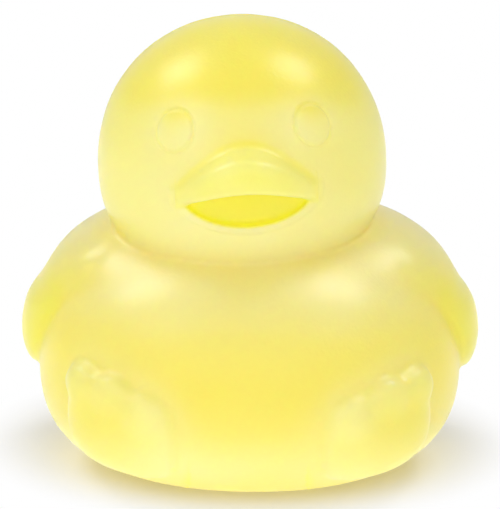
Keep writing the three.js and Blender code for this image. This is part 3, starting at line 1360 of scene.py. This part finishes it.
def object_from(bm: bmesh.types.BMesh, name: str) -> bpy.types.Object:
    """Turns a bmesh into an object in the scene and frees it.

    Args:
        bm: The mesh.
        name: The object's name.

    Returns:
        The object.
    """
    mesh = bpy.data.meshes.new(name)
    bm.to_mesh(mesh)
    bm.free()
    piece = bpy.data.objects.new(name, mesh)
    bpy.context.scene.collection.objects.link(piece)
    return piece


def apply_modifier(piece: bpy.types.Object, kind: str, **settings: Any) -> None:
    """Runs one modifier on a piece and keeps its result.

    Args:
        piece: The object.
        kind: The modifier's type.
        settings: The modifier's settings.
    """
    modifier = piece.modifiers.new(kind.lower(), kind)
    for name, value in settings.items():
        setattr(modifier, name, value)
    graph = bpy.context.evaluated_depsgraph_get()
    made = bpy.data.meshes.new_from_object(piece.evaluated_get(graph))
    piece.modifiers.clear()
    piece.data = made


# The studio


@dataclass(frozen=True)
class Softbox:
    """One square soft lamp, hung where its reflection falls on the duck as a broad soft light."""

    name: str
    toward: tuple[float, float, float]
    distance: float = 700.0
    size: float = 260.0
    power: float = 1.0

    def hang(self, aim: Vector) -> None:
        """Hangs the lamp, facing a point given in millimetres."""
        lamp = bpy.data.lights.new(self.name, "AREA")
        lamp.energy = self.power
        lamp.size = self.size * MM
        holder = bpy.data.objects.new(self.name, lamp)
        direction = Vector(self.toward).normalized()
        holder.location = (aim + direction * self.distance) * MM
        holder.rotation_euler = direction.to_track_quat("Z", "Y").to_euler()
        bpy.context.scene.collection.objects.link(holder)


@dataclass(frozen=True)
class Studio:
    """A pale paper floor under an even white sky, with soft lamps round the duck.

    Two lamps hang high up and a little behind it, two wider ones hang in front of those, and three broad
    ones stand low in front and fill the face and the belly evenly.
    """

    floor_half: float = 3000.0
    sky_strength: float = 0.06
    paper: StudioPaper = field(default_factory=StudioPaper)
    aim: tuple[float, float, float] = (0.0, 0.0, 33.0)
    lamps: tuple[Softbox, ...] = (
        Softbox("left_softbox", (-0.57, 0.18, 0.80), power=1.8),
        Softbox("right_softbox", (0.47, 0.14, 0.87), power=1.9),
        Softbox("front_left_softbox", (-0.62, -0.45, 0.64), size=340.0, power=0.8),
        Softbox("front_right_softbox", (0.62, -0.45, 0.64), size=340.0, power=0.5),
        Softbox("broad_softbox", (0.0, -0.97, 0.24), 1000.0, 1000.0, 2.6),
        Softbox("broad_left_softbox", (-0.50, -0.85, 0.15), 1000.0, 800.0, 2.1),
        Softbox("broad_right_softbox", (0.50, -0.85, 0.15), 1000.0, 800.0, 1.3),
    )

    def build(self) -> None:
        """Makes the floor, the sky and the lamps."""
        bm = bmesh.new()
        bmesh.ops.create_grid(bm, x_segments=1, y_segments=1, size=self.floor_half * MM)
        floor = object_from(bm, "paper_floor")
        floor.data.materials.append(self.paper.made())
        for lamp in self.lamps:
            lamp.hang(Vector(self.aim))
        self.light_sky()

    def light_sky(self) -> None:
        """Gives the world an even light, and plain white where the camera or a reflection sees it."""
        world = bpy.data.worlds.new("white_surround")
        world.use_nodes = True
        tree = world.node_tree
        tree.nodes.clear()
        seen = add_node(tree, "ShaderNodeLightPath")
        either = add_node(tree, "ShaderNodeMath", {"operation": "MAXIMUM"}, {
            0: seen.outputs["Is Camera Ray"], 1: seen.outputs["Is Glossy Ray"],
        })
        direct = add_node(tree, "ShaderNodeMath", {"operation": "MAXIMUM"}, {
            0: either.outputs[0], 1: seen.outputs["Is Transmission Ray"],
        })
        sky = add_node(tree, "ShaderNodeBackground", {}, {
            "Color": linear("FFFFFF"), "Strength": self.sky_strength,
        })
        white = add_node(tree, "ShaderNodeBackground", {}, {"Color": linear("FFFFFF"), "Strength": 1.0})
        mixed = add_node(tree, "ShaderNodeMixShader", {}, {
            0: direct.outputs[0], 1: sky.outputs[0], 2: white.outputs[0],
        })
        add_node(tree, "ShaderNodeOutputWorld", {}, {"Surface": mixed.outputs[0]})
        bpy.context.scene.world = world


@dataclass(frozen=True)
class StudioCamera:
    """A long lens a little above the duck, level with its face."""

    aim: tuple[float, float, float] = (-0.14, 0.0, 31.1)
    distance: float = 500.0
    elevation: float = 14.0
    roll: float = 0.7
    picture_height: int = 509
    mm_per_pixel: float = 0.144
    sensor: float = 36.0
    nearest: float = 10.0
    farthest: float = 50000.0

    def build(self) -> None:
        """Makes the camera and gives it to the scene."""
        rise, tip = math.radians(self.elevation), math.radians(self.roll)
        back = Vector((0.0, -math.cos(rise), math.sin(rise)))
        level = Vector((1.0, 0.0, 0.0))
        upright = back.cross(level)
        right = level * math.cos(tip) + upright * math.sin(tip)
        up = upright * math.cos(tip) - level * math.sin(tip)
        lens = bpy.data.cameras.new("studio_camera")
        lens.sensor_width = self.sensor
        lens.lens = self.sensor * self.distance / (self.picture_height * self.mm_per_pixel)
        lens.clip_start = self.nearest * MM
        lens.clip_end = self.farthest * MM
        camera = bpy.data.objects.new("studio_camera", lens)
        place = Matrix((right, up, back)).transposed().to_4x4()
        place.translation = (Vector(self.aim) + back * self.distance) * MM
        camera.matrix_world = place
        bpy.context.scene.collection.objects.link(camera)
        bpy.context.scene.camera = camera


def report(piece: bpy.types.Object) -> None:
    """Logs a piece's name, its size in millimetres and its number of faces."""
    corners = np.array([vert.co for vert in piece.data.vertices]) / MM
    size = corners.max(axis=0) - corners.min(axis=0)
    LOG.info("%s: %.1f x %.1f x %.1f mm, %d faces", piece.name, *size, len(piece.data.polygons))


def main() -> None:
    """Builds the camera, the duck and the studio."""
    logging.basicConfig(level=logging.INFO, format="%(name)s: %(message)s")
    StudioCamera().build()
    moulding = Moulding()
    duck = moulding.build()
    moulding.dress(duck)
    report(duck)
    Studio().build()
    bpy.context.scene.view_settings.view_transform = "Standard"


if __name__ == "__main__":
    main()
